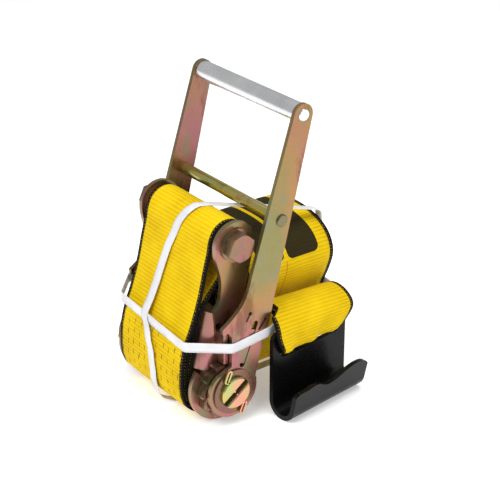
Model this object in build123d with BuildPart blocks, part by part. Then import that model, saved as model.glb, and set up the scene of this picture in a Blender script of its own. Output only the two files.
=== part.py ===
from build123d import *
import math
import os

# Ratchet tie down, packed as it is sold: a long wide handle buckle standing on its mandrel end,
# the short strap round its anchor bolt, the long strap coiled behind it with its flat hook, and
# two packing bands.  Millimetres.  The origin is the middle of the mandrel's axis, +X along the
# mandrel, +Y towards the coiled strap, +Z up.  The floor is at z = FLOOR.

# --- stack along X, from the webbing outwards -------------------------------------------------
WEBBING_WIDTH = 101.6
FRAME_IN = 55.0
FRAME_T = 4.5
FRAME_OUT = FRAME_IN + FRAME_T
WHEEL_T = 4.9
WHEEL_INNER_X = FRAME_OUT + 0.4
WHEEL_OUTER_X = WHEEL_INNER_X + WHEEL_T + 0.3
HANDLE_IN = 71.2
HANDLE_T = 4.0
HANDLE_OUT = HANDLE_IN + HANDLE_T
MANDREL_WASHER_X = HANDLE_OUT + 0.3
MANDREL_WASHER_T = 1.4
COTTER_X = 78.5
MANDREL_END = 80.5

# --- mandrel and ratchet wheels ---------------------------------------------------------------
FLOOR = -35.0
MANDREL_R = 15.0
MANDREL_SLOT = 5.6
MANDREL_TURN = 35.6
RUNNING_GAP = 0.08
BEARING_R = MANDREL_R + RUNNING_GAP
WHEEL_TEETH = 12
WHEEL_TIP_R = 29.5
WHEEL_ROOT_R = 24.0
TOOTH_STEP = 360 / WHEEL_TEETH
FIRST_FACE = -2.5
COTTER_R = 1.5

# --- frame ------------------------------------------------------------------------------------
LOBE_R = -FLOOR
RING_R = 24.5
BOLT_Y = 14.0
BOLT_Z = 134.0
FRAME_TOP_R = 21.0
WEB_BEND_R = 12.0
WEB_TOP_Z = 74.0
WEB_BOTTOM_Z = 22.0
WEB_TOP_Y = -13.0
WEB_BOTTOM_Y = -26.6
SLEEVE_R = 16.4
BOLT_R = 8.0
BOLT_HEX_AF = 24.0
BOLT_HEAD_T = 8.5

# --- pawls ------------------------------------------------------------------------------------
LOCK_Y = -4.5
LOCK_T = 5.0
LOCK_TIP_Z = 27.0
LOCK_TOP_Z = 56.0
LOCK_TRAVEL = 6.0
LOCK_EAR_X = 70.4
BRIDGE_Z = 66.0
BRIDGE_T = 3.0
DRIVE_ANGLE = 22.0
DRIVE_T = 4.6
DRIVE_TIP_R = 26.7
DRIVE_TOP_R = 59.0
DRIVE_TRAVEL = 6.0
DRIVE_SLOT_IN = 25.0
DRIVE_SLOT_OUT = DRIVE_TOP_R + DRIVE_TRAVEL + 0.6
SEAT_R = 68.5
SEAT_T = 3.0
TONGUE_W = 7.0

# --- handle -----------------------------------------------------------------------------------
BOSS_R = 25.6
GRIP_Y = 75.0
GRIP_Z = 243.5
GRIP_R = 9.0
GRIP_BORE_R = 5.6
GRIP_ROD_R = 5.5
HANDLE_TOP_R = 10.0
CROSSBAR_Y = 52.5
CROSSBAR_Z = 152.0
CROSSBAR_R = 5.4
CROSSBAR_ROD_R = 4.0

# --- flat hook --------------------------------------------------------------------------------
HOOK_X = 79.5
HOOK_Y = 37.0
HOOK_YAW = 6.9
HOOK_WIDTH = 94.0
HOOK_T = 4.6
HOOK_TOP_Z = 46.5
HOOK_SLOT_BOTTOM_Z = 20.5
HOOK_SLOT_TOP_Z = 37.0
HOOK_BAR = 9.5
HOOK_BEND_R = 15.5
HOOK_LIP = 25.0

# --- coiled strap and packing bands -----------------------------------------------------------
ROLL_NEAR_Y = 38.8
BAND_W = 9.5
BAND_T = 0.7
BAND_GAP = 0.35
SIDE_BAND_Z = 48.0
SIDE_BAND_TILT = 5.0
TOP_BAND_TILT = 4.0
TOP_BAND_X = -4.0

SIDES = {"right": 1, "left": -1}


def mandrel_turned(x):
    """Plane across the mandrel at x, whose local X runs along the mandrel's slot."""
    turn = math.radians(MANDREL_TURN)
    return Plane(origin=(x, 0, 0), x_dir=(0, math.cos(turn), math.sin(turn)), z_dir=(1, 0, 0))


def polar(radius, degrees):
    """Point at an angle from +Z towards +Y, as (y, z)."""
    return radius * math.sin(math.radians(degrees)), radius * math.cos(math.radians(degrees))


def save(piece, name):
    piece.part.label = name
    export_step(piece.part, f"parts/{name}.step")


def frame_side_outline():
    """Edges of one frame side plate, in (y, z)."""
    start = (BOLT_Y + FRAME_TOP_R, BOLT_Z)
    with BuildLine() as line:
        crown = ThreePointArc(start, (BOLT_Y, BOLT_Z + FRAME_TOP_R), (BOLT_Y - FRAME_TOP_R, BOLT_Z))
        front = Spline(crown @ 1, (-1.5, 106.0), (-1.2, 92.0), (-9.0, 74.5),
                       tangents=[(0, -1), (-1, -0.6)])
        ear_front = Line(front @ 1, (-9.0, WEB_BOTTOM_Z))
        relief = Polyline(ear_front @ 1, (-21.0, 20.0), (-22.5, 15.0), (-28.0, 21.0))
        lobe = ThreePointArc(relief @ 1, (-LOBE_R, 0.0), (-2.0, -34.94))
        heel = Spline(lobe @ 1, (7.0, -28.0), polar(RING_R, 135), tangents=[(1, 0.1), (1, 0.9)])
        ring = ThreePointArc(heel @ 1, polar(RING_R, 75), polar(RING_R, 12))
        Polyline(ring @ 1, (7.0, 30.5), (18.0, 58.0), (22.4, 77.5), (30.5, 112.6), start)
    return line.line


def frame_part():
    """One bent channel: two side plates joined by a web with wide bends."""
    web_height = WEB_TOP_Z - WEB_BOTTOM_Z
    web_run = (0, WEB_BOTTOM_Y - WEB_TOP_Y, -web_height)
    with BuildPart() as frame:
        for side in SIDES.values():
            inner = min(side * FRAME_IN, side * FRAME_OUT)
            with BuildSketch(Plane.YZ.offset(inner)):
                add(frame_side_outline())
                make_face()
            extrude(amount=FRAME_T)
        # The channel's web, drawn across its run and extruded down it.
        across = Plane(origin=(0, WEB_TOP_Y, WEB_TOP_Z), x_dir=(1, 0, 0), z_dir=web_run)
        reach = 26.0
        with BuildSketch(across):
            with Locations((0, -reach / 2)):
                block = Rectangle(2 * FRAME_OUT, reach)
            fillet(block.vertices().group_by(Axis.Y)[-1], WEB_BEND_R)
            with Locations((0, -reach / 2 - FRAME_T)):
                Rectangle(2 * FRAME_IN, reach, mode=Mode.SUBTRACT)
        extrude(amount=math.hypot(*web_run))
        # Bearing for the mandrel, bolt holes and the lock pawl's slots.
        with BuildSketch(Plane.YZ.offset(-FRAME_OUT)):
            Circle(BEARING_R)
            with Locations((BOLT_Y, BOLT_Z)):
                Circle(BOLT_R + 0.2)
            slot_height = LOCK_TOP_Z + LOCK_TRAVEL - LOCK_TIP_Z + 2.0
            with Locations((LOCK_Y, (LOCK_TIP_Z + LOCK_TOP_Z + LOCK_TRAVEL) / 2)):
                Rectangle(LOCK_T + 0.5, slot_height)
        extrude(amount=2 * FRAME_OUT, mode=Mode.SUBTRACT)
    return frame


def anchor_parts():
    """Hex bolt, nut, washers and the sleeve that the short strap goes round."""
    washer_t = 2.4
    head_x = FRAME_OUT + 0.2 + washer_t
    bolt_end = -(head_x + BOLT_HEAD_T + 3.0)
    with BuildPart() as bolt:
        with BuildSketch(Plane.YZ.offset(head_x)):
            with Locations((BOLT_Y, BOLT_Z)):
                RegularPolygon(BOLT_HEX_AF / 2, 6, major_radius=False, rotation=18)
        extrude(amount=BOLT_HEAD_T)
        crown = Axis((0, BOLT_Y, BOLT_Z), (1, 0, 0))
        with BuildSketch(Plane(origin=(head_x, BOLT_Y, BOLT_Z), x_dir=(1, 0, 0), z_dir=(0, 1, 0))):
            with BuildLine():
                Polyline((0, 0), (BOLT_HEAD_T, 0), (BOLT_HEAD_T, 12.2), (BOLT_HEAD_T - 2.2, 15),
                         (0, 15), close=True)
            make_face()
        revolve(axis=crown, mode=Mode.INTERSECT)
        with BuildSketch(Plane.YZ.offset(bolt_end)):
            with Locations((BOLT_Y, BOLT_Z)):
                Circle(BOLT_R)
        extrude(amount=head_x - bolt_end)
        chamfer(bolt.faces().sort_by(Axis.X)[0].edges(), 1.0)
    with BuildPart() as nut:
        with BuildSketch(Plane.YZ.offset(-head_x - BOLT_HEAD_T - 1.0)):
            with Locations((BOLT_Y, BOLT_Z)):
                RegularPolygon(BOLT_HEX_AF / 2, 6, major_radius=False, rotation=5)
                Circle(BOLT_R + 0.02, mode=Mode.SUBTRACT)
        extrude(amount=BOLT_HEAD_T + 1.0)
    with BuildPart() as washers:
        for side in SIDES.values():
            inner = min(side * (FRAME_OUT + 0.1), side * (FRAME_OUT + 0.1 + washer_t))
            with BuildSketch(Plane.YZ.offset(inner)):
                with Locations((BOLT_Y, BOLT_Z)):
                    Circle(15.5)
                    Circle(BOLT_R + 0.3, mode=Mode.SUBTRACT)
            extrude(amount=washer_t)
    sleeve_half = FRAME_IN - 0.3
    with BuildPart() as sleeve:
        with BuildSketch(Plane.YZ.offset(-sleeve_half)):
            with Locations((BOLT_Y, BOLT_Z)):
                Circle(SLEEVE_R)
                Circle(BOLT_R + 0.3, mode=Mode.SUBTRACT)
        extrude(amount=2 * sleeve_half)
    save(bolt, "anchor_bolt")
    save(nut, "anchor_nut")
    save(washers, "anchor_washers")
    save(sleeve, "anchor_sleeve")


def mandrel_parts():
    """Two D-section halves with the webbing slot between them, held by cotter pins."""
    for name, sign in (("mandrel_half_upper", 1), ("mandrel_half_lower", -1)):
        with BuildPart() as half:
            with BuildSketch(mandrel_turned(-MANDREL_END)):
                Circle(MANDREL_R)
                with Locations((0, sign * (MANDREL_SLOT / 2 - MANDREL_R))):
                    Rectangle(2 * MANDREL_R, 2 * MANDREL_R, mode=Mode.SUBTRACT)
            extrude(amount=2 * MANDREL_END)
            chamfer(half.faces().filter_by(Axis.X).edges(), 1.0)
            for x in (-COTTER_X, COTTER_X):
                with BuildSketch(mandrel_turned(x)):
                    Rectangle(2 * COTTER_R + 0.2, 3 * MANDREL_R)
                extrude(amount=COTTER_R + 0.1, both=True, mode=Mode.SUBTRACT)
        save(half, name)
    with BuildPart() as washers:
        for side in SIDES.values():
            near = min(side * MANDREL_WASHER_X, side * (MANDREL_WASHER_X + MANDREL_WASHER_T))
            with BuildSketch(Plane.YZ.offset(near)):
                Circle(21.5)
                Circle(BEARING_R + 0.1, mode=Mode.SUBTRACT)
            extrude(amount=MANDREL_WASHER_T)
    save(washers, "mandrel_washers")
    save(cotter_parts(), "cotter_pins")


def cotter_parts():
    """Four split pins through the mandrel halves, their long eyes laid over outside."""
    with BuildPart() as pins:
        for x in (-COTTER_X, COTTER_X):
            for base in (-MANDREL_TURN, 180 - MANDREL_TURN):
                root_y, root_z = polar(MANDREL_SLOT / 2 - 1.2, base)
                out_y, out_z = polar(1.0, base)
                with BuildSketch(Plane(origin=(x, root_y, root_z), x_dir=(1, 0, 0),
                                       z_dir=(0, out_y, out_z))):
                    Circle(COTTER_R)
                extrude(amount=MANDREL_R + 2.6 - MANDREL_SLOT / 2)
                eye_y, eye_z = polar(MANDREL_R + 4.8, base + 12)
                with BuildSketch(Plane.YZ.offset(x - 0.8)):
                    with Locations(Location((eye_y, eye_z), 90 - base - 60)):
                        SlotOverall(13.0, 5.2)
                        SlotOverall(9.8, 1.8, mode=Mode.SUBTRACT)
                extrude(amount=1.6)
    return pins


def wheel_edge():
    """Ratchet wheel outline: steep faces towards the pawls, long backs behind them."""
    corners = []
    for tooth in range(WHEEL_TEETH):
        face = FIRST_FACE + tooth * TOOTH_STEP
        corners.append(polar(WHEEL_ROOT_R, face - 1.5))
        corners.append(polar(WHEEL_ROOT_R + 1.0, face))
        corners.append(polar(WHEEL_TIP_R, face))
        corners.append(polar(WHEEL_TIP_R, face + 4.0))
        corners.append(polar(WHEEL_ROOT_R + 3.2, face + 15.0))
    return corners


def wheel_parts():
    """Two laminations each side, with D-shaped holes that key them to the mandrel halves."""
    for side_name, side in SIDES.items():
        for layer, x in (("inner", WHEEL_INNER_X), ("outer", WHEEL_OUTER_X)):
            near = min(side * x, side * (x + WHEEL_T))
            with BuildPart() as wheel:
                with BuildSketch(Plane.YZ.offset(near)):
                    with BuildLine():
                        Polyline(*wheel_edge(), close=True)
                    make_face()
                extrude(amount=WHEEL_T)
                with BuildSketch(mandrel_turned(near)):
                    Circle(BEARING_R)
                    Rectangle(3 * MANDREL_R, MANDREL_SLOT - 2 * RUNNING_GAP, mode=Mode.SUBTRACT)
                extrude(amount=WHEEL_T, mode=Mode.SUBTRACT)
            save(wheel, f"ratchet_wheel_{side_name}_{layer}")


def lock_pawl_parts():
    """Sliding lock pawl with an ear out to each wheel, its spring and the bridge it pushes on."""
    height = LOCK_TOP_Z - LOCK_TIP_Z
    face = Plane.XZ.offset(-(LOCK_Y + LOCK_T / 2))
    with BuildPart() as pawl:
        with BuildSketch(face):
            with Locations((0, LOCK_TIP_Z + height / 2)):
                Rectangle(2 * LOCK_EAR_X, height)
            with Locations((0, LOCK_TOP_Z + 7.0)):
                Rectangle(TONGUE_W, 16.0)
        extrude(amount=LOCK_T)
        fillet(pawl.edges().filter_by(Axis.Y).group_by(Axis.Z)[-1], 1.5)
    with BuildPart() as bridge:
        with BuildSketch(Plane.XY.offset(BRIDGE_Z)):
            with Locations((0, -1.8)):
                Rectangle(2 * FRAME_IN - 0.4, 13.0)
        extrude(amount=BRIDGE_T)
        fillet(bridge.edges().filter_by(Axis.X), 0.8)
        with BuildSketch(Plane.XY.offset(BRIDGE_Z)):
            with Locations((0, LOCK_Y)):
                Rectangle(TONGUE_W + 0.8, LOCK_T + 0.8)
        extrude(amount=BRIDGE_T, mode=Mode.SUBTRACT)
    spring_base = Plane(origin=(0, LOCK_Y, LOCK_TOP_Z + 0.7))
    spring = coil_spring(spring_base, BRIDGE_Z - LOCK_TOP_Z - 1.4, 3.5)
    save(pawl, "lock_pawl")
    save(bridge, "lock_spring_bridge")
    save(spring, "lock_spring")


def coil_spring(base, height, turns):
    """Compression spring of round wire standing on a plane."""
    coil_r = 5.0
    wire_r = 0.4
    with BuildPart() as spring:
        with BuildLine():
            helix = Helix(height / turns, height, coil_r, center=base.origin, direction=base.z_dir)
        with BuildSketch(Plane(origin=helix @ 0, z_dir=helix % 0)):
            Circle(wire_r)
        sweep(path=helix, is_frenet=True)
    return spring


def drive_plane(along_y=False):
    """Plane at the mandrel axis with local Y pointing out along the drive pawl."""
    out = polar(1.0, DRIVE_ANGLE)
    thick = polar(1.0, DRIVE_ANGLE + 90)
    if along_y:
        return Plane(origin=(0, 0, 0), x_dir=(1, 0, 0), z_dir=(0, out[0], out[1]))
    return Plane(origin=(0, 0, 0), x_dir=(1, 0, 0), z_dir=(0, thick[0], thick[1]))


def drive_pawl_parts():
    """Drive pawl in the handle's slots, with its spring and the seat that the spring pushes on."""
    height = DRIVE_TOP_R - DRIVE_TIP_R
    flat = drive_plane()
    up = flat.y_dir.Z / abs(flat.y_dir.Z)
    with BuildPart() as pawl:
        with BuildSketch(flat.offset(-DRIVE_T / 2)):
            with Locations((0, up * (DRIVE_TIP_R + height / 2))):
                Rectangle(2 * (HANDLE_OUT - 0.6), height)
            with Locations((0, up * (DRIVE_TOP_R + 5.0))):
                Rectangle(TONGUE_W, 12.0)
        extrude(amount=DRIVE_T)
        with BuildSketch(flat.offset(DRIVE_T / 2)):
            with Locations((0, up * (DRIVE_TOP_R - 5.0))):
                Rectangle(46.0, 6.0)
        extrude(amount=3.0)
        fillet(pawl.faces().sort_by(Axis((0, 0, 0), flat.z_dir))[-1].edges(), 1.2)
    out = drive_plane(along_y=True)
    with BuildPart() as seat:
        with BuildSketch(out.offset(SEAT_R)):
            Rectangle(2 * HANDLE_IN - 0.4, 10.4)
        extrude(amount=SEAT_T)
        fillet(seat.edges().filter_by(Axis.X), 0.8)
        with BuildSketch(out.offset(SEAT_R)):
            Rectangle(TONGUE_W + 0.8, DRIVE_T + 0.8)
        extrude(amount=SEAT_T, mode=Mode.SUBTRACT)
    spring = coil_spring(out.offset(DRIVE_TOP_R + 0.7), SEAT_R - DRIVE_TOP_R - 1.4, 5)
    save(pawl, "drive_pawl")
    save(seat, "drive_spring_seat")
    save(spring, "drive_spring")


def handle_outline():
    """Edges of one handle plate in (y, z): boss, cam lobe, tapering arm and round top."""
    with BuildLine() as line:
        start = (24.4, 7.8)
        boss = ThreePointArc(start, (0.0, -BOSS_R), (-22.8, 11.6))
        neck = Spline(boss @ 1, (-14.0, 19.8), (-1.8, 25.0), tangents=[(0.45, 1), (1, 0.5)])
        tip = Polyline(neck @ 1, (-1.0, 48.0), (-1.6, 54.8), (-5.6, 60.0), (-8.8, 58.3),
                       (-11.0, 60.0), (-11.4, 64.6))
        lobe = Spline(tip @ 1, (-3.2, 70.0), (5.3, 76.6), (11.8, 84.2), (16.4, 93.5),
                      (22.6, 113.6), tangents=[(0.85, 0.5), (0.345, 1)])
        arm = Line(lobe @ 1, (65.2, GRIP_Z + 2.6))
        top = ThreePointArc(arm @ 1, (GRIP_Y - 1.0, GRIP_Z + HANDLE_TOP_R), (84.6, GRIP_Z - 2.0))
        back = Line(top @ 1, (46.0, 84.0))
        Spline(back @ 1, (40.0, 59.5), (33.2, 40.0), start, tangents=[(-0.27, -1), (-0.3, -1)])
    return line.line


def handle_parts():
    """Two handle plates joined by the crossbar and the grip's rod."""
    for side_name, side in SIDES.items():
        near = min(side * HANDLE_IN, side * HANDLE_OUT)
        with BuildPart() as plate:
            with BuildSketch(Plane.YZ.offset(near)):
                add(handle_outline())
                make_face()
                Circle(BEARING_R, mode=Mode.SUBTRACT)
                with Locations((GRIP_Y, GRIP_Z)):
                    Circle(GRIP_ROD_R + 0.05, mode=Mode.SUBTRACT)
                with Locations((CROSSBAR_Y, CROSSBAR_Z)):
                    Circle(CROSSBAR_ROD_R + 0.05, mode=Mode.SUBTRACT)
                middle = (DRIVE_SLOT_IN + DRIVE_SLOT_OUT) / 2
                with Locations(Location(polar(middle, DRIVE_ANGLE), 90 - DRIVE_ANGLE)):
                    SlotOverall(DRIVE_SLOT_OUT - DRIVE_SLOT_IN + 4.0, DRIVE_T + 1.0,
                                mode=Mode.SUBTRACT)
                with Locations((18.6, 71.6)):
                    Circle(1.9, mode=Mode.SUBTRACT)
                with Locations(Location((16.4, 68.2), 60)):
                    SlotOverall(8.0, 1.5, mode=Mode.SUBTRACT)
                with Locations(Location((32.0, 57.4), 50)):
                    SlotOverall(13.0, 2.4, mode=Mode.SUBTRACT)
            extrude(amount=HANDLE_T)
        save(plate, f"handle_plate_{side_name}")
    with BuildPart() as crossbar:
        half = HANDLE_IN - 0.2
        with BuildSketch(Plane.YZ.offset(-half)):
            with Locations((CROSSBAR_Y, CROSSBAR_Z)):
                Circle(CROSSBAR_R)
                Circle(CROSSBAR_ROD_R + 0.1, mode=Mode.SUBTRACT)
        extrude(amount=2 * half)
    save(crossbar, "crossbar_tube")
    save(rod_with_heads(CROSSBAR_Y, CROSSBAR_Z, CROSSBAR_ROD_R, 5.6, 1.8), "crossbar_rod")
    save(rod_with_heads(GRIP_Y, GRIP_Z, GRIP_ROD_R, GRIP_ROD_R, 1.0), "grip_rod")
    with BuildPart() as grip:
        half = HANDLE_IN - 0.4
        with BuildSketch(Plane.YZ.offset(-half)):
            with Locations((GRIP_Y, GRIP_Z)):
                Circle(GRIP_R)
                Circle(GRIP_BORE_R, mode=Mode.SUBTRACT)
        extrude(amount=2 * half)
        fillet(grip.edges().filter_by(GeomType.CIRCLE), 0.6)
    save(grip, "grip_tube")


def rod_with_heads(y, z, rod_r, head_r, head_t):
    """Rod across the handle, closed over outside each plate with a low rivet head."""
    with BuildPart() as rod:
        with BuildSketch(Plane.YZ.offset(-HANDLE_OUT)):
            with Locations((y, z)):
                Circle(rod_r)
        extrude(amount=2 * HANDLE_OUT)
        for side in SIDES.values():
            near = min(side * HANDLE_OUT, side * (HANDLE_OUT + head_t))
            with BuildSketch(Plane.YZ.offset(near)):
                with Locations((y, z)):
                    Circle(head_r)
            extrude(amount=head_t)
        chamfer(rod.faces().filter_by(Axis.X).edges().group_by(Axis.X)[-1], 0.7)
        chamfer(rod.faces().filter_by(Axis.X).edges().group_by(Axis.X)[0], 0.7)
    return rod


def hook_plane(along=0.0):
    """Plane across the hook at a distance along its width; local X is away from the handle."""
    yaw = math.radians(HOOK_YAW)
    origin = (HOOK_X - along * math.sin(yaw), HOOK_Y + along * math.cos(yaw), 0)
    return Plane(origin=origin, x_dir=(math.cos(yaw), math.sin(yaw), 0),
                 z_dir=(math.sin(yaw), -math.cos(yaw), 0))


def flat_hook_part():
    """Flat hook: plate with a webbing slot, rolled under into a lip with two raised stretches."""
    centre_x = HOOK_BEND_R
    centre_z = FLOOR + HOOK_BEND_R
    inner_r = HOOK_BEND_R - HOOK_T
    lip_turn = math.radians(78)
    lip_dir = (math.cos(lip_turn), math.sin(lip_turn))
    arc_end = (centre_x + HOOK_BEND_R * math.sin(lip_turn), centre_z - HOOK_BEND_R * math.cos(lip_turn))
    arc_end_in = (centre_x + inner_r * math.sin(lip_turn), centre_z - inner_r * math.cos(lip_turn))
    tip = (arc_end[0] + HOOK_LIP * lip_dir[0], arc_end[1] + HOOK_LIP * lip_dir[1])
    tip_in = (arc_end_in[0] + HOOK_LIP * lip_dir[0], arc_end_in[1] + HOOK_LIP * lip_dir[1])
    half_turn = math.radians(225)
    low = (centre_x + HOOK_BEND_R * math.cos(half_turn), centre_z + HOOK_BEND_R * math.sin(half_turn))
    low_in = (centre_x + inner_r * math.cos(half_turn), centre_z + inner_r * math.sin(half_turn))
    side = hook_plane()
    face = Plane(origin=side.origin, x_dir=-side.z_dir, z_dir=side.x_dir)
    with BuildPart() as hook:
        with BuildSketch(side):
            with BuildLine():
                Line((0, HOOK_TOP_Z), (0, centre_z))
                ThreePointArc((0, centre_z), low, (centre_x, FLOOR))
                RadiusArc((centre_x, FLOOR), arc_end, -HOOK_BEND_R)
                Line(arc_end, tip)
                Line(tip, tip_in)
                Line(tip_in, arc_end_in)
                RadiusArc(arc_end_in, (centre_x, FLOOR + HOOK_T), inner_r)
                ThreePointArc((centre_x, FLOOR + HOOK_T), low_in, (HOOK_T, centre_z))
                Polyline((HOOK_T, centre_z), (HOOK_T, HOOK_TOP_Z), (0, HOOK_TOP_Z))
            make_face()
        extrude(amount=-HOOK_WIDTH)
        along_x = Axis(side.origin, side.x_dir)
        fillet(hook.edges().filter_by(along_x).group_by(Axis.Z)[-1], 7.0)
        # The slot for the webbing, and the wavy top edge of the lip.
        slot_height = HOOK_SLOT_TOP_Z - HOOK_SLOT_BOTTOM_Z
        with BuildSketch(face):
            with Locations((HOOK_WIDTH / 2, HOOK_SLOT_BOTTOM_Z + slot_height / 2)):
                RectangleRounded(HOOK_WIDTH - 2 * HOOK_BAR, slot_height, 4.0)
        extrude(amount=HOOK_T, mode=Mode.SUBTRACT)
        with BuildSketch(face.offset(centre_x)):
            with BuildLine():
                edge = Spline((-1, -6), (3, -2.8), (14, -1.8), (27, -0.6), (37, -5.5), (46, -6.8),
                              (60, -2.5), (83, 1.2), (90, -1.5), (95, -9))
                Polyline(edge @ 1, (95, 6), (-1, 6), edge @ 0)
            make_face()
        extrude(amount=30.0, mode=Mode.SUBTRACT)
    save(hook, "flat_hook")


def roll_part():
    """Coiled long strap, pinched by the side band: tall, wide at the top and narrow at the floor."""
    outline = [(-6, -33.4), (12, -29.5), (21, -12), (25, 8), (27, 30), (31, 47), (40, 66), (45.5, 84),
               (40, 100), (26, 111), (4, 117), (-22, 118), (-44, 115.5), (-58, 105), (-63, 88),
               (-60, 68), (-50, 47), (-40, 28), (-35, 8), (-31, -14), (-22, -28)]
    with BuildPart() as roll:
        with BuildSketch(Plane.XZ.offset(-ROLL_NEAR_Y)):
            with BuildLine():
                Spline(*outline, periodic=True)
            make_face()
        extrude(amount=-WEBBING_WIDTH)
    save(roll, "long_strap_roll")


def strap_end_part():
    """Hook end of the long strap: up beside the coil, over, and round the hook's top bar."""
    edge = HOOK_BAR + 4.5
    yaw_plane = hook_plane(edge)
    width = HOOK_WIDTH - HOOK_BAR - 1.0 - edge
    with BuildPart() as end:
        with BuildSketch(yaw_plane):
            with BuildLine():
                Polyline((-36.5, 52.0), (-30, 63), (-20, 69), (-8, 69), (3, 63), (9.5, 52), (10.5, 34),
                         (10.0, 24.5), (-4.8, 24.5), (-5.0, 49), (-12, 56), (-22, 57.5), (-29.5, 50),
                         (-33.0, 38.0), (-36.6, 40), close=True)
            make_face()
            with BuildLine():
                Polyline((-2.2, 27.8), (7.4, 27.8), (7.4, 54.6), (-2.2, 54.6), close=True)
            make_face(mode=Mode.SUBTRACT)
        extrude(amount=-width)
    save(end, "hook_strap_end")


def short_strap_part():
    """Short strap: a loop round the anchor sleeve whose two plies are sewn together below."""
    with BuildPart() as strap:
        with BuildSketch(Plane.YZ.offset(-WEBBING_WIDTH / 2)):
            with BuildLine():
                over = ThreePointArc((33.2, 131.0), (BOLT_Y, BOLT_Z + 19.5), (-5.4, 131.0))
                front = Spline(over @ 1, (-12.4, 107.0), (-18.4, 84.5), (-26.0, 61.5), (-32.2, 47.0),
                               (-37.0, 30.0), (-39.0, 12.0), (-38.5, -5.0), (-35.0, -19.0),
                               (-24.0, -27.5), (-6.0, -29.6), tangents=[(-0.15, -1), (1, 0)])
                Polyline(front @ 1, (-6.0, -21.0), (-17.0, -20.2), (-25.5, -14.5), (-29.6, -3.0),
                         (-29.8, 10.0), (-28.3, 22.0), (-26.4, 31.5), (-20.8, 51.8), (-15.0, 74.5),
                         over @ 0)
            make_face()
            with BuildLine():
                Polyline((BOLT_Y + 16.6, 129.5), (-17.2, 76.6), (-20.8, 70.0), (-15.6, 83.5),
                         (-9.6, 106.0), (-3.4, 128.5), close=True)
            make_face(mode=Mode.SUBTRACT)
            with Locations((BOLT_Y, BOLT_Z)):
                Circle(SLEEVE_R + 0.3, mode=Mode.SUBTRACT)
        extrude(amount=WEBBING_WIDTH)
    save(strap, "short_strap")


def band_ring(name, plane, corners, across):
    """One closed ring of packing band round a list of corners, its width in one direction."""
    with BuildPart() as band:
        with BuildSketch(plane):
            with BuildLine() as inside:
                FilletPolyline(*corners, radius=1.0, close=True)
            make_face()
            offset(amount=BAND_T, kind=Kind.ARC)
            with BuildLine():
                add(inside.line)
            make_face(mode=Mode.SUBTRACT)
        extrude(amount=BAND_W, dir=across)
    save(band, name)


def band_parts():
    """Two white packing bands: one over the top from front to back, one round the sides."""
    tilt = math.radians(SIDE_BAND_TILT)
    side_plane = Plane(origin=(0, 0, SIDE_BAND_Z - BAND_W / 2),
                       x_dir=(math.cos(tilt), 0, -math.sin(tilt)),
                       z_dir=(math.sin(tilt), 0, math.cos(tilt)))
    handle_x = HANDLE_OUT + BAND_GAP
    far_y = ROLL_NEAR_Y + WEBBING_WIDTH + BAND_GAP
    front_y = -35.5
    side_corners = [(51.2, front_y), (handle_x, -0.9), (handle_x, 39.8), (39.5, far_y),
                    (-57.0, far_y), (-handle_x, 46.6), (-handle_x, -11.2), (-51.2, front_y)]
    along_tilt = [(x / math.cos(tilt), y) for x, y in side_corners]
    band_ring("packing_band_side", side_plane, along_tilt, (0, 0, 1))
    # The top band lies over the side band where the two cross, in front and behind.
    lean = math.radians(TOP_BAND_TILT)
    top_plane = Plane(origin=(TOP_BAND_X - BAND_W / 2, 0, 0), x_dir=(0, 1, 0),
                      z_dir=(math.cos(lean), 0, -math.sin(lean)))
    back_y = far_y + BAND_T + 0.2
    cross_y = front_y - BAND_T - 0.2
    top_corners = [(8.5, 154.2), (18.5, 153.4), (back_y, 118.6), (back_y, -34.1),
                   (-20.0, -34.1), (-36.0, -24.0), (-40.8, -6.0), (-40.6, 15.0), (-38.6, 34.0),
                   (cross_y, 41.5), (cross_y, 53.5), (-29.6, 62.5), (-20.6, 84.5), (-14.4, 107.0),
                   (-7.2, 131.0), (-5.6, 142.0), (0.5, 150.2)]
    along_lean = [(y, z / math.cos(lean)) for y, z in top_corners]
    band_ring("packing_band_top", top_plane, along_lean, (1, 0, 0))


os.makedirs("parts", exist_ok=True)
save(frame_part(), "frame")
anchor_parts()
mandrel_parts()
wheel_parts()
lock_pawl_parts()
drive_pawl_parts()
handle_parts()
flat_hook_part()
roll_part()
strap_end_part()
short_strap_part()
band_parts()
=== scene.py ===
import math

import bmesh
import bpy
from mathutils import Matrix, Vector


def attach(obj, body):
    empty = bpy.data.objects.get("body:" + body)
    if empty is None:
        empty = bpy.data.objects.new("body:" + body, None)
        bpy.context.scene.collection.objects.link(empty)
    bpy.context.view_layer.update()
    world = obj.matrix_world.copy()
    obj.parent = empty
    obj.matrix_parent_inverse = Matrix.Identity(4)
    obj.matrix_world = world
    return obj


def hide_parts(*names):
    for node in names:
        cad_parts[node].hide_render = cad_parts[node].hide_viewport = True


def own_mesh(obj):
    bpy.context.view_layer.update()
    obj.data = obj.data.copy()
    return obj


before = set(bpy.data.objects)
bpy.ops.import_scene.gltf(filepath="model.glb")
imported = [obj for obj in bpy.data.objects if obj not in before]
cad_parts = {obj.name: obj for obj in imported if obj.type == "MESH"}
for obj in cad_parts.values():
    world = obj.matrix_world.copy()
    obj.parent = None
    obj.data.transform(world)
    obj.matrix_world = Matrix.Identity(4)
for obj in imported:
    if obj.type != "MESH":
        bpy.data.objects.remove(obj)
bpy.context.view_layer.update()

# Everything is in metres.  WIDTH is the 4 inch webbing, FLOOR the height the buckle stands on.
WIDTH = 0.1016
FLOOR = -0.035
RIB_PITCH = 0.0036
SELVAGE = 0.0042
DOT_PITCH = 0.0029
COIL_NEAR_Y = 0.0388


# ---- node helpers ----------------------------------------------------------------------------

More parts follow.
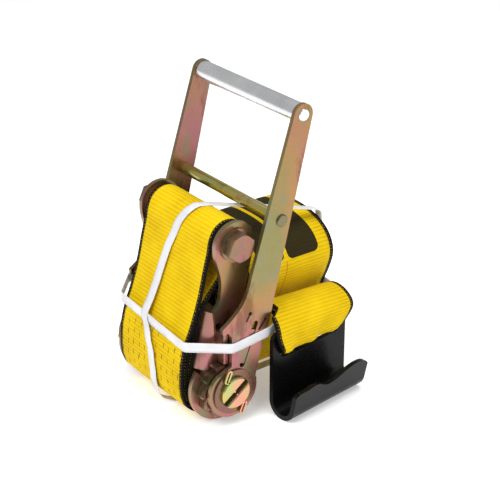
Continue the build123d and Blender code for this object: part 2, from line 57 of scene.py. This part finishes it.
class Nodes:
    """A material's node tree, with a short call for each kind of node used below."""

    def __init__(self, name):
        self.material = bpy.data.materials.new(name)
        self.material.use_nodes = True
        self.tree = self.material.node_tree
        self.shader = self.tree.nodes["Principled BSDF"]

    def node(self, kind, **values):
        made = self.tree.nodes.new(kind)
        for key, value in values.items():
            setattr(made, key, value)
        return made

    def feed(self, socket, value):
        if hasattr(value, "is_output"):
            self.tree.links.new(value, socket)
        else:
            socket.default_value = value

    def math(self, operation, a, b=0.0, c=0.0, clamp=False):
        made = self.node("ShaderNodeMath", operation=operation, use_clamp=clamp)
        for socket, value in zip(made.inputs, (a, b, c)):
            self.feed(socket, value)
        return made.outputs[0]

    def mix(self, factor, a, b):
        made = self.node("ShaderNodeMix", data_type="RGBA")
        self.feed(made.inputs[0], factor)
        self.feed(made.inputs[6], a)
        self.feed(made.inputs[7], b)
        return made.outputs[2]

    def band(self, value, low, high, soft):
        """1 while the value lies between two limits, with soft edges."""
        rise = self.node("ShaderNodeMapRange", interpolation_type="SMOOTHSTEP")
        self.feed(rise.inputs["Value"], value)
        self.feed(rise.inputs["From Min"], low - soft)
        self.feed(rise.inputs["From Max"], low + soft)
        fall = self.node("ShaderNodeMapRange", interpolation_type="SMOOTHSTEP")
        self.feed(fall.inputs["Value"], value)
        self.feed(fall.inputs["From Min"], high - soft)
        self.feed(fall.inputs["From Max"], high + soft)
        return self.math("SUBTRACT", rise.outputs[0], fall.outputs[0], clamp=True)

    def position(self):
        return self.node("ShaderNodeTexCoord").outputs["Object"]

    def split(self, vector):
        made = self.node("ShaderNodeSeparateXYZ")
        self.feed(made.inputs[0], vector)
        return made.outputs

    def scaled(self, vector, scale):
        made = self.node("ShaderNodeVectorMath", operation="MULTIPLY")
        self.feed(made.inputs[0], vector)
        made.inputs[1].default_value = scale
        return made.outputs[0]

    def noise(self, vector, scale, detail=3.0, roughness=0.5):
        made = self.node("ShaderNodeTexNoise")
        self.feed(made.inputs["Vector"], vector)
        made.inputs["Scale"].default_value = scale
        made.inputs["Detail"].default_value = detail
        made.inputs["Roughness"].default_value = roughness
        return made.outputs["Fac"]

    def ramp(self, factor, *stops):
        made = self.node("ShaderNodeValToRGB")
        self.feed(made.inputs[0], factor)
        elements = made.color_ramp.elements
        while len(elements) < len(stops):
            elements.new(0.5)
        for element, (place, colour) in zip(elements, stops):
            element.position = place
            element.color = (*colour, 1.0)
        return made.outputs[0]

    def bump(self, height, distance, strength=1.0):
        made = self.node("ShaderNodeBump")
        self.feed(made.inputs["Height"], height)
        made.inputs["Distance"].default_value = distance
        made.inputs["Strength"].default_value = strength
        self.feed(self.shader.inputs["Normal"], made.outputs[0])

    def set(self, **values):
        for key, value in values.items():
            self.feed(self.shader.inputs[key.replace("_", " ")], value)
        return self.material


def rgb(r, g, b):
    return (r, g, b, 1.0)


# ---- materials -------------------------------------------------------------------------------

def zinc(name, tint=(1.0, 1.0, 1.0), painted_reflection=0.0, roughness=0.30, grain=1.0):
    """Yellow-zinc plated steel: pink, gold and green film colours, greener on cut edges.

    The brown wash below the crossbar is painted shade, a painted reflection of the dark hook, and
    grain sets how small the patches are."""
    n = Nodes(name)
    place = n.position()
    film = n.noise(n.scaled(place, (1.0, 1.0, 0.42)), 17.0 * grain, 2.0, 0.42)
    colour = n.ramp(film, (0.30, (0.27, 0.31, 0.10)), (0.42, (0.42, 0.29, 0.09)),
                    (0.52, (0.45, 0.22, 0.15)), (0.62, (0.44, 0.19, 0.19)),
                    (0.74, (0.34, 0.27, 0.10)))
    patch = n.noise(n.scaled(place, (1.0, 1.0, 0.8)), 42.0 * grain, 4.0, 0.6)
    colour = n.mix(n.band(patch, 0.60, 1.0, 0.08), colour, rgb(0.25, 0.31, 0.14))
    fine = n.noise(place, 110.0, 4.0, 0.6)
    colour = n.mix(n.math("MULTIPLY", fine, 0.20), colour, rgb(0.55, 0.42, 0.22))
    # Faces square to the mandrel are the rolled sheet; the others are its cut edges.
    facing = n.split(n.node("ShaderNodeTexCoord").outputs["Normal"])[0]
    edge = n.math("SUBTRACT", 1.0, n.math("ABSOLUTE", facing), clamp=True)
    edge = n.math("MULTIPLY", edge, 0.55)
    colour = n.mix(edge, colour, rgb(0.30, 0.35, 0.14))
    # Painted shade: a brown wash low on the plate paints the reflection of the dark hook.
    if painted_reflection:
        low = n.split(place)[2]
        shade = n.math("MULTIPLY", n.band(low, -1.0, 0.12, 0.05), painted_reflection)
        colour = n.mix(shade, colour, rgb(0.26, 0.11, 0.015))
    # Brown smears where the plating is thin.
    smear = n.noise(n.scaled(place, (1.0, 1.0, 0.35)), 30.0, 5.0, 0.7)
    colour = n.mix(n.math("MULTIPLY", n.band(smear, 0.60, 1.0, 0.06), 0.55), colour,
                   rgb(0.13, 0.06, 0.025))
    tinted = n.node("ShaderNodeMix", data_type="RGBA", blend_type="MULTIPLY")
    tinted.inputs[0].default_value = 1.0
    n.feed(tinted.inputs[6], colour)
    tinted.inputs[7].default_value = rgb(*tint)
    smudge = n.noise(place, 38.0, 5.0, 0.65)
    rough = n.math("MULTIPLY_ADD", smudge, 0.24, roughness - 0.12)
    scratch = n.noise(n.scaled(place, (1.0, 9.0, 1.3)), 240.0, 2.0, 0.5)
    height = n.math("MULTIPLY_ADD", scratch, 0.4, fine)
    n.bump(height, 0.00007, 0.55)
    return n.set(Base_Color=tinted.outputs[2], Metallic=0.90, Roughness=rough)


def bare_grip():
    """Pale zinc-plated tube, with drawn lines along it and faint rubbing."""
    n = Nodes("silver_grip")
    place = n.position()
    drawn = n.noise(n.scaled(place, (0.05, 1.0, 1.0)), 900.0, 2.0, 0.5)
    cloud = n.noise(place, 22.0, 4.0, 0.6)
    colour = n.ramp(cloud, (0.3, (0.72, 0.73, 0.76)), (0.7, (0.90, 0.90, 0.90)))
    rough = n.math("MULTIPLY_ADD", cloud, 0.20, 0.16)
    n.bump(drawn, 0.00004, 0.5)
    return n.set(Base_Color=colour, Metallic=0.95, Roughness=rough)


def black_paint():
    """Gloss black paint over steel, a little orange-peel, worn thin on a few high spots."""
    n = Nodes("black_hook")
    place = n.position()
    peel = n.noise(place, 260.0, 2.0, 0.5)
    patch = n.noise(place, 34.0, 5.0, 0.7)
    worn = n.math("GREATER_THAN", patch, 0.735)
    colour = n.mix(worn, rgb(0.0035, 0.0035, 0.004), rgb(0.10, 0.10, 0.11))
    rough = n.math("MULTIPLY_ADD", patch, 0.24, 0.16)
    n.bump(peel, 0.00010, 0.45)
    return n.set(Base_Color=colour, Roughness=rough, Metallic=0.0, Specular_IOR_Level=0.10,
                 Coat_Weight=0.03, Coat_Roughness=0.15)


def band_plastic():
    """White woven-pattern strapping: fine raised diamonds and a faint sheen."""
    n = Nodes("white_band")
    place = n.position()
    parts = n.split(place)
    along = n.math("ADD", parts[2], n.math("ADD", parts[0], parts[1]))
    across = n.math("SUBTRACT", parts[2], n.math("ADD", parts[0], parts[1]))
    one = n.math("SINE", n.math("MULTIPLY", along, 3200.0))
    two = n.math("SINE", n.math("MULTIPLY", across, 3200.0))
    weave = n.math("MULTIPLY", one, two)
    cloud = n.noise(place, 50.0, 3.0)
    colour = n.ramp(n.math("MULTIPLY_ADD", weave, 0.18, cloud), (0.3, (0.58, 0.58, 0.60)),
                    (0.7, (0.72, 0.71, 0.71)))
    n.bump(weave, 0.00008, 0.6)
    return n.set(Base_Color=colour, Roughness=0.42, Subsurface_Weight=0.05)


def webbing(name, stitched=None, printed=None):
    """Yellow polyester webbing, read from the UV map in metres: U across, V along.

    Ribs run across it, and black selvages with small faint yellow dots down both edges.  stitched
    is the stretch of V that dark thread runs through, and printed the stretch of V of a plain
    mark."""
    n = Nodes(name)
    flat = n.node("ShaderNodeUVMap").outputs[0]
    u, v, _ = n.split(flat)
    waver = n.math("MULTIPLY", n.math("SUBTRACT", n.noise(flat, 30.0, 2.0), 0.5), 0.0016)
    rib = n.math("SINE", n.math("MULTIPLY", n.math("ADD", v, waver), 2 * math.pi / RIB_PITCH))
    twill = n.math("SINE", n.math("MULTIPLY", n.math("ADD", v, u), 2 * math.pi / 0.0011))
    yarn = n.math("SINE", n.math("MULTIPLY", u, 2 * math.pi / 0.0013))
    fuzz = n.noise(flat, 900.0, 3.0, 0.6)
    cloud = n.noise(flat, 26.0, 3.0, 0.5)
    # The rib wave also lightens the colour on the crests and darkens it in the grooves: painted
    # shade.
    tone = n.math("MULTIPLY_ADD", rib, 0.15, n.math("MULTIPLY_ADD", fuzz, 0.35, cloud))
    colour = n.ramp(tone, (0.25, (0.47, 0.285, 0.0005)), (0.62, (0.67, 0.445, 0.001)),
                    (0.95, (0.76, 0.540, 0.006)))
    if printed:
        colour = printed_mark(n, colour, u, v, printed)
    if stitched:
        colour = stitching(n, colour, u, v, stitched)
    side = n.math("ABSOLUTE", u)
    selvage = n.band(side, WIDTH / 2 - SELVAGE, 1.0, 0.0004)
    jitter = n.math("MULTIPLY", n.noise(flat, 210.0, 1.0), 0.9)
    dot_v = n.math("ADD", n.math("DIVIDE", v, DOT_PITCH), jitter)
    dot_v = n.math("SUBTRACT", n.math("FRACT", dot_v), 0.5)
    row = n.math("DIVIDE", n.math("SUBTRACT", side, WIDTH / 2 - 0.0026), DOT_PITCH)
    dot = n.math("ADD", n.math("MULTIPLY", dot_v, dot_v), n.math("MULTIPLY", row, row))
    dot = n.math("MULTIPLY", n.band(dot, -1.0, 0.030, 0.014), n.band(fuzz, 0.45, 1.0, 0.05))
    thread = n.mix(dot, rgb(0.005, 0.004, 0.003), rgb(0.42, 0.29, 0.01))
    colour = n.mix(selvage, colour, thread)
    plain = n.math("SUBTRACT", 1.0, selvage)
    height = n.math("ADD", n.math("MULTIPLY", n.math("MULTIPLY", rib, plain), 0.8),
                    n.math("MULTIPLY_ADD", twill, 0.22, n.math("MULTIPLY", yarn, 0.18)))
    height = n.math("ADD", height, n.math("MULTIPLY", dot, 0.4))
    n.bump(height, 0.00030, 0.7)
    return n.set(Base_Color=colour, Roughness=0.82, Specular_IOR_Level=0.12)


def stitching(n, colour, u, v, stretch):
    """Rows of short dark ticks along the strap, each row started at its own place."""
    flat = n.node("ShaderNodeUVMap").outputs[0]
    wander = n.math("SUBTRACT", n.noise(flat, 75.0, 3.0), 0.5)
    column = n.math("DIVIDE", u, 0.0092)
    whole = n.math("ROUND", column)
    beside = n.math("SUBTRACT", column, whole)
    beside = n.math("ABSOLUTE", n.math("ADD", beside, n.math("MULTIPLY", wander, 0.9)))
    shift = n.math("FRACT", n.math("MULTIPLY", n.math("SINE", n.math("MULTIPLY", whole, 12.9898)),
                                   43.7585))
    along = n.math("ADD", n.math("DIVIDE", v, 0.0105), n.math("MULTIPLY", wander, 1.1))
    along = n.math("FRACT", n.math("ADD", along, shift))
    tick = n.math("MULTIPLY", n.band(along, 0.10, 0.60, 0.07), n.band(beside, -1.0, 0.060, 0.03))
    inside = n.band(v, stretch[0], stretch[1], 0.001)
    fade = n.math("MULTIPLY_ADD", n.noise(flat, 120.0, 2.0), 0.9, 0.25, clamp=True)
    tick = n.math("MULTIPLY", n.math("MULTIPLY", tick, inside), fade)
    return n.mix(tick, colour, rgb(0.09, 0.055, 0.01))


def printed_mark(n, colour, u, v, stretch):
    """Black bars printed along the strap, rounded at their end, and a thin red line beyond."""
    for low, high in ((-0.0345, -0.0060), (-0.0020, 0.0340)):
        middle, half = (low + high) / 2, (high - low) / 2
        over = n.math("SUBTRACT", n.math("ABSOLUTE", n.math("SUBTRACT", u, middle)), half - 0.006)
        over = n.math("MAXIMUM", over, 0.0)
        start = n.math("MAXIMUM", n.math("SUBTRACT", stretch[0] + 0.006, v), 0.0)
        stop = n.math("MAXIMUM", n.math("SUBTRACT", v, stretch[1] - 0.006), 0.0)
        past = n.math("MAXIMUM", start, stop)
        reach = n.math("SQRT", n.math("ADD", n.math("MULTIPLY", over, over),
                                      n.math("MULTIPLY", past, past)))
        bar = n.band(reach, -1.0, 0.006, 0.00025)
        colour = n.mix(n.math("MULTIPLY", bar, 0.97), colour, rgb(0.005, 0.005, 0.004))
    red = n.math("MULTIPLY", n.band(u, -0.0044, -0.0035, 0.0002),
                 n.band(v, stretch[1] + 0.001, stretch[1] + 0.12, 0.001))
    return n.mix(n.math("MULTIPLY", red, 0.75), colour, rgb(0.55, 0.05, 0.01))


def floor_material():
    n = Nodes("studio_floor")
    cloud = n.noise(n.position(), 3.0, 2.0)
    colour = n.ramp(cloud, (0.0, (0.92, 0.92, 0.92)), (1.0, (0.94, 0.94, 0.94)))
    return n.set(Base_Color=colour, Roughness=0.6, Emission_Color=rgb(1.0, 1.0, 1.0),
                 Emission_Strength=0.30)


# ---- strap geometry --------------------------------------------------------------------------

def smooth_line(points, step, closed=False):
    """Points a set step apart along a Catmull-Rom curve through the given ones."""
    if closed:
        points = [points[-1], *points, points[0], points[1]]
    else:
        first = points[0] * 2 - points[1]
        last = points[-1] * 2 - points[-2]
        points = [first, *points, last]
    fine = []
    for a, b, c, d in zip(points, points[1:], points[2:], points[3:]):
        count = max(2, round((c - b).length / step * 3))
        for k in range(count):
            t = k / count
            fine.append(0.5 * (2 * b + (c - a) * t + (2 * a - 5 * b + 4 * c - d) * t * t
                               + (3 * b - a - 3 * c + d) * t ** 3))
    fine.append(points[-2].copy())
    return even(fine, step)


def even(line, step):
    """The same line with its points evenly spaced."""
    lengths = [(b - a).length for a, b in zip(line, line[1:])]
    total = sum(lengths)
    count = max(2, round(total / step))
    out = [line[0].copy()]
    walked, k = 0.0, 0
    for j in range(1, count):
        target = total * j / count
        while walked + lengths[k] < target:
            walked += lengths[k]
            k += 1
        out.append(line[k].lerp(line[k + 1], (target - walked) / lengths[k]))
    out.append(line[-1].copy())
    return out


def line_length(line):
    return sum((b - a).length for a, b in zip(line, line[1:]))


def strap(name, body, material, line, across, place, columns=16, thick=0.0026, width=None,
          ripple=None):
    """Webbing along a flat line.

    line holds 2-D points, place turns (a, b, distance across) into the row frame, and across is
    the middle of the strap's width.  width and ripple are functions of the share of the way along
    and give the width there and how far each point across is pushed along the line's normal."""
    mesh = bmesh.new()
    uv = mesh.loops.layers.uv.new("strap")
    count = len(line)
    total = line_length(line)
    normals = []
    for k in range(count):
        direction = (line[min(k + 1, count - 1)] - line[max(k - 1, 0)]).normalized()
        normals.append(Vector((-direction[1], direction[0])))
    layers = []
    for side in (1, -1):
        grid = []
        for k, (point, normal) in enumerate(zip(line, normals)):
            share = k / (count - 1)
            wide = width(share) if width else WIDTH
            row = []
            for c in range(columns + 1):
                s = c / columns * 2 - 1
                # The weave is a little thinner at its selvages.
                half = thick / 2 * (1 - 0.35 * abs(s) ** 8)
                push = ripple(share, s) if ripple else 0.0
                at = point + normal * (side * half + push)
                row.append(mesh.verts.new(place(at[0], at[1], across + s * wide / 2)))
            grid.append(row)
        layers.append(grid)
    upper, lower = layers

    def quad(corners, marks):
        face = mesh.faces.new(corners)
        face.smooth = True
        for loop, mark in zip(face.loops, marks):
            loop[uv].uv = mark

    def mark(k, c):
        return ((c / columns - 0.5) * WIDTH, total * k / (count - 1))

    for k in range(count - 1):
        for c in range(columns):
            ring = ((k, c), (k, c + 1), (k + 1, c + 1), (k + 1, c))
            quad([upper[i][j] for i, j in ring], [mark(i, j) for i, j in ring])
            quad([lower[i][j] for i, j in reversed(ring)], [mark(i, j) for i, j in reversed(ring)])
        for c in (0, columns):
            corners = [upper[k][c], upper[k + 1][c], lower[k + 1][c], lower[k][c]]
            marks = [mark(k, c), mark(k + 1, c), mark(k + 1, c), mark(k, c)]
            if c == columns:
                corners.reverse()
                marks.reverse()
            quad(corners, marks)
    for k in (0, count - 1):
        for c in range(columns):
            corners = [upper[k][c + 1], upper[k][c], lower[k][c], lower[k][c + 1]]
            marks = [mark(k, c + 1), mark(k, c), mark(k, c), mark(k, c + 1)]
            if k:
                corners.reverse()
                marks.reverse()
            quad(corners, marks)
    bmesh.ops.recalc_face_normals(mesh, faces=mesh.faces)
    data = bpy.data.meshes.new(name)
    mesh.to_mesh(data)
    mesh.free()
    obj = bpy.data.objects.new(name, data)
    bpy.context.scene.collection.objects.link(obj)
    data.materials.append(material)
    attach(obj, body)
    return obj, total


def mm(*pairs):
    return [Vector((a / 1000, b / 1000)) for a, b in pairs]


# ---- camera and light ------------------------------------------------------------------------

camera = bpy.data.objects.new("camera", bpy.data.cameras.new("camera"))
camera.location = (0.943325, -0.632137, 0.662891)
camera.rotation_euler = (math.radians(63.998), 0, math.radians(53.158))
camera.data.sensor_width = 36.0
camera.data.lens = 101.84
camera.data.clip_start = 0.05
bpy.context.scene.collection.objects.link(camera)
bpy.context.scene.camera = camera
bpy.context.scene.view_settings.view_transform = "Standard"


def area_light(name, place, aim, size, power):
    light = bpy.data.lights.new(name, "AREA")
    light.shape = "RECTANGLE"
    light.size, light.size_y = size
    light.energy = power
    obj = bpy.data.objects.new(name, light)
    obj.location = place
    obj.rotation_euler = (Vector(aim) - Vector(place)).to_track_quat("-Z", "Y").to_euler()
    bpy.context.scene.collection.objects.link(obj)


area_light("key", (0.30, -1.10, 1.30), (0, 0, 0.08), (0.9, 0.9), 18.5)
area_light("top", (0.10, 0.30, 1.60), (0, 0.05, 0.05), (1.4, 1.4), 16.0)
area_light("side", (1.40, 0.20, 0.55), (0, 0.05, 0.08), (0.7, 0.9), 6.0)
world = bpy.data.worlds.new("studio")
world.use_nodes = True
world.node_tree.nodes["Background"].inputs[0].default_value = (1.0, 1.0, 1.0, 1.0)
world.node_tree.nodes["Background"].inputs[1].default_value = 0.42
bpy.context.scene.world = world

floor_mesh = bpy.data.meshes.new("floor")
floor_mesh.from_pydata([(-6, -6, FLOOR), (6, -6, FLOOR), (6, 6, FLOOR), (-6, 6, FLOOR)], [],
                       [(0, 1, 2, 3)])
floor = bpy.data.objects.new("floor", floor_mesh)
floor_mesh.materials.append(floor_material())
bpy.context.scene.collection.objects.link(floor)


# ---- CAD parts: materials --------------------------------------------------------------------

PLATE = zinc("zinc_plate", tint=(0.82, 0.68, 0.80))
# This handle plate is a darker, shaded copy of the plate zinc with a brown wash low down: painted
# shade and painted reflection of the dark hook.
PLATE_PAINTED_REFLECTION = zinc("zinc_plate_painted_reflection", tint=(0.68, 0.58, 0.70), painted_reflection=0.62)
WHEEL = zinc("zinc_wheel", tint=(0.50, 0.46, 0.50), roughness=0.26, grain=2.2)
BAR = zinc("zinc_bar", tint=(1.50, 1.45, 1.15), roughness=0.18)
BOLT = zinc("zinc_bolt", tint=(0.66, 0.52, 0.84), roughness=0.26, grain=1.6)
GRIP = bare_grip()
PAINT = black_paint()
BAND = band_plastic()

CHOICES = {
    PLATE: ["handle_plate_right", "lock_spring_bridge", "drive_spring_seat", "lock_pawl",
            "drive_pawl", "frame"],
    PLATE_PAINTED_REFLECTION: ["handle_plate_left"],
    WHEEL: ["ratchet_wheel_right_inner", "ratchet_wheel_right_outer", "ratchet_wheel_left_inner",
            "ratchet_wheel_left_outer", "mandrel_washers"],
    BAR: ["crossbar_tube", "mandrel_half_upper", "mandrel_half_lower", "cotter_pins",
          "anchor_sleeve"],
    BOLT: ["anchor_bolt", "anchor_nut", "anchor_washers", "crossbar_rod"],
    GRIP: ["grip_tube", "grip_rod"],
    PAINT: ["flat_hook"],
}
for material, names in CHOICES.items():
    for name in names:
        for k in range(len(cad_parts[name].material_slots)):
            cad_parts[name].material_slots[k].material = material


# ---- springs, copied onto their bodies in the wheel's zinc -----------------------------------

OUTWARD = (0.0, math.sin(math.radians(22)), math.cos(math.radians(22)))
SPRINGS = (("lock_spring", "root", "lock_pawl_slide", (0, 0, 1), (0, -0.0045, 0.0659), 0.36),
           ("drive_spring", "handle", "drive_pawl_slide", OUTWARD,
            tuple(0.0684 * v for v in OUTWARD), 0.31))
for name, body, joint, axis, fixed_end, keep in SPRINGS:
    spring = bpy.data.objects.new(name + "_coil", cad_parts[name].data.copy())
    bpy.context.scene.collection.objects.link(spring)
    for k in range(len(spring.data.materials)):
        spring.data.materials[k] = WHEEL
    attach(spring, body)
    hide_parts(name)
    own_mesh(spring)


# ---- short strap -----------------------------------------------------------------------------

def along_x(a, b, across):
    """Place on a strap that runs up and down, with its width along the mandrel."""
    return Vector((across, a, b))


SHORT = webbing("webbing_short", stitched=(-1.0, 0.098))
front = mm((-6, -28.2), (-16, -27.2), (-25.5, -23.2), (-32.6, -16.5), (-36.6, -6), (-37.7, 6),
           (-37.3, 16), (-35.7, 29.6), (-31.0, 46.6), (-24.6, 61.8), (-16.4, 86.3), (-10.6, 110),
           (-6.3, 126), (-4.1, 137), (0.6, 146.3), (9.2, 151.6), (18.8, 151.6), (27.4, 146.3),
           (31.9, 136), (30.4, 129.4), (14.0, 110.2), (-14.9, 76.4), (-20.6, 56.6), (-25.2, 33.2),
           (-28.2, 20), (-28.4, 8), (-28.3, -3), (-24.6, -13.6), (-17, -19.4), (-6, -22.3))
short_line = smooth_line(front, 0.003)
short, short_length = strap("short_strap_webbing", "root", SHORT, short_line, 0.0, along_x)
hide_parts("short_strap")
inner = mm((-6, -25.2), (-16.6, -23.3), (-25.2, -18.3), (-30.6, -9), (-33.0, 4), (-32.6, 16),
           (-30.6, 31), (-25.8, 49), (-20.9, 63))
inner_line = smooth_line(inner, 0.003)
ply, ply_length = strap("short_strap_inner_ply", "root", SHORT, inner_line, 0.0, along_x,
                        width=lambda share: WIDTH - 0.001)


# ---- long strap: the coil --------------------------------------------------------------------

LONG = webbing("webbing_long", printed=(0.148, 0.2640))
OUTLINE = mm((-6, -32.0), (11, -28.2), (19.7, -12), (23.7, 8), (25.7, 30), (29.7, 47), (38.8, 66),
             (44.2, 84), (38.9, 99), (25.3, 109.7), (3.8, 115.7), (-21.6, 116.7), (-43.4, 114.3),
             (-56.8, 104.2), (-61.7, 88), (-58.7, 68), (-48.8, 47), (-38.7, 28), (-33.7, 8),
             (-29.7, -14), (-21, -26.8))
SPINE = mm((-5, -4), (-10, 84))
TURNS = 11.0
# How far the innermost turn has closed in on the middle line.
CLOSED_IN = 0.93
ring = smooth_line(OUTLINE, 0.004, closed=True)
spine_way = SPINE[1] - SPINE[0]


def inward(point):
    """The place on the coil's middle line that a point of its outline closes in on."""
    share = (point - SPINE[0]).dot(spine_way) / spine_way.length_squared
    return SPINE[0] + spine_way * min(max(share, 0.0), 1.0)


coil = []
steps = int(TURNS * len(ring))
for k in range(steps):
    edge = ring[(-k) % len(ring)]
    depth = CLOSED_IN * k / steps
    coil.append(edge.lerp(inward(edge), depth))
coil_line = even(coil, 0.005)


def along_y(a, b, across):
    """Place on the coil, which is wound about an axis along Y."""
    return Vector((a, across, b))


COIL_MIDDLE = COIL_NEAR_Y + WIDTH / 2
coil_obj, coil_length = strap("long_strap_coil", "root", LONG, coil_line, COIL_MIDDLE, along_y,
                              columns=10, thick=0.0022)
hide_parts("long_strap_roll")


# ---- long strap: the sewn end round the hook -------------------------------------------------

YAW = math.radians(6.9)
HOOK_CORNER = Vector((0.0795, 0.037))
HOOK_AWAY = Vector((math.cos(YAW), math.sin(YAW)))
HOOK_ALONG = Vector((-math.sin(YAW), math.cos(YAW)))
# Above this height the strap starts to lean, and is all the way over after the rise.
LEAN_START = 0.028
LEAN_RISE = 0.034
LEAN_SHIFT = 0.0045
LEAN_DROP = 0.0118
TUCK = 0.0120


def share_of(value, low, high):
    """How far a value is from one limit to another, held between 0 and 1."""
    return min(max((value - low) / (high - low), 0.0), 1.0)


def by_hook(a, b, across):
    """Place on the hook's end of the strap, whose fold leans down towards the far side."""
    rise = share_of(b, LEAN_START, LEAN_START + LEAN_RISE)
    across += LEAN_SHIFT * rise
    # Behind the hook, the near edge is tucked clear of the handle's swing.
    tuck = TUCK * share_of(-a, -0.001, 0.0043)
    across += tuck * max(1.0 - across / 0.05, 0.0)
    flat = HOOK_CORNER + HOOK_AWAY * a + HOOK_ALONG * across
    return Vector((flat[0], flat[1], b - LEAN_DROP * rise * across / 0.1))


def tail_width(share):
    """Full width over the fold, gathered where it goes through the hook."""
    gather = math.exp(-((share - 0.63) / 0.12) ** 2)
    return 0.1010 - 0.0260 * gather


def tail_ripple(share, s):
    """Puckers across the strap where it is gathered."""
    gather = math.exp(-((share - 0.61) / 0.13) ** 2)
    return 0.0010 * gather * (math.cos(s * 8.2 + 0.6) + 0.45 * math.cos(s * 17.0))


TAIL = webbing("webbing_tail", stitched=(0.155, 0.30))
tail_points = mm((-35.2, 41), (-35.4, 51), (-29.2, 61.7), (-19.6, 67.5), (-8.4, 67.5), (2.2, 61.8),
                 (8.2, 51.5), (9.0, 36), (8.6, 29.5), (5.4, 26.2), (-0.6, 26.2), (-3.5, 29.5),
                 (-3.7, 38), (-4.0, 48), (-6.5, 57.2), (-12, 62.2), (-19.5, 62.6), (-26.5, 58.5))
tail_line = smooth_line(tail_points, 0.0025)
tail, tail_length = strap("long_strap_hook_end", "root", TAIL, tail_line, 0.0470, by_hook,
                          columns=28, width=tail_width, ripple=tail_ripple)
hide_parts("hook_strap_end")


# ---- packing bands ---------------------------------------------------------------------------

BAND_WIDTH = 0.0095
BAND_THICK = 0.0008


def rounded(points, radius, step=0.0015):
    """A line through the given points with each inner corner turned into a short bend."""
    line = [points[0]]
    for before, corner, after in zip(points, points[1:], points[2:]):
        come, leave = before - corner, after - corner
        start = corner + come.normalized() * min(radius, come.length * 0.45)
        stop = corner + leave.normalized() * min(radius, leave.length * 0.45)
        for k in range(7):
            t = k / 6
            line.append(start * (1 - t) ** 2 + corner * 2 * t * (1 - t) + stop * t * t)
    line.append(points[-1])
    return even(line, step)


def follow(value, *stops):
    """Straight-line reading of a table of (place, value) stops."""
    if value <= stops[0][0]:
        return stops[0][1]
    for (a, low), (b, high) in zip(stops, stops[1:]):
        if value <= b:
            return low + (high - low) * (value - a) / (b - a)
    return stops[-1][1]


def over_top(y, z, across):
    """Place on the top band, which is pulled aside where it is tied down in front."""
    if y < 0.012:
        middle = follow(z, (-0.034, 0.009), (0.003, 0.008), (0.023, 0.004), (0.048, -0.010),
                        (0.062, -0.012), (0.089, -0.010), (0.1165, -0.0055), (0.137, 0.001),
                        (0.154, 0.008))
    elif z > 0.1:
        middle = follow(y, (0.012, 0.009), (0.05, 0.012), (0.14, 0.018))
    else:
        middle = follow(z, (-0.034, 0.009), (0.1, 0.018))
    return Vector((middle + across, y, z))


def round_sides(x, y, across):
    """Place on the side band, which drops towards the handle's near plate."""
    z = 0.0492 - 0.075 * x
    if x > 0.03:
        z += follow(y, (0.0, 0.0), (0.045, 0.0045), (0.13, 0.0))
    return Vector((x, y, z + across))


# Each band starts and ends at the back, where its two ends are welded one over the other.
TOP_LINE = mm((141.6, 66), (141.6, 118.9), (18.6, 153.7), (8.3, 154.6), (0.4, 150.8),
              (-5.6, 142.2), (-7.6, 131), (-15, 107), (-21.2, 84.5), (-30.0, 62.5),
              (-36.9, 53.5), (-36.9, 41.5), (-39.6, 33), (-41.2, 15), (-41.2, -6),
              (-36.6, -24), (-20, -34.2), (141.6, -34.2), (142.5, 78))
top_band, _ = strap("packing_band_top_smooth", "root", BAND, rounded(TOP_LINE, 0.006), 0.0,
                    over_top, columns=4, thick=BAND_THICK, width=lambda share: BAND_WIDTH)
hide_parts("packing_band_top")
SIDE_LINE = mm((0, 141.2), (39.5, 141.2), (75.9, 39.8), (75.9, -0.9), (51.2, -35.6),
               (-51.2, -35.6), (-75.9, -11.2), (-75.9, 46.6), (-57, 141.2), (3, 141.6))
side_band, _ = strap("packing_band_side_smooth", "root", BAND, rounded(SIDE_LINE, 0.0025), 0.0,
                     round_sides, columns=4, thick=BAND_THICK, width=lambda share: BAND_WIDTH)
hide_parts("packing_band_side")

bpy.context.view_layer.update()
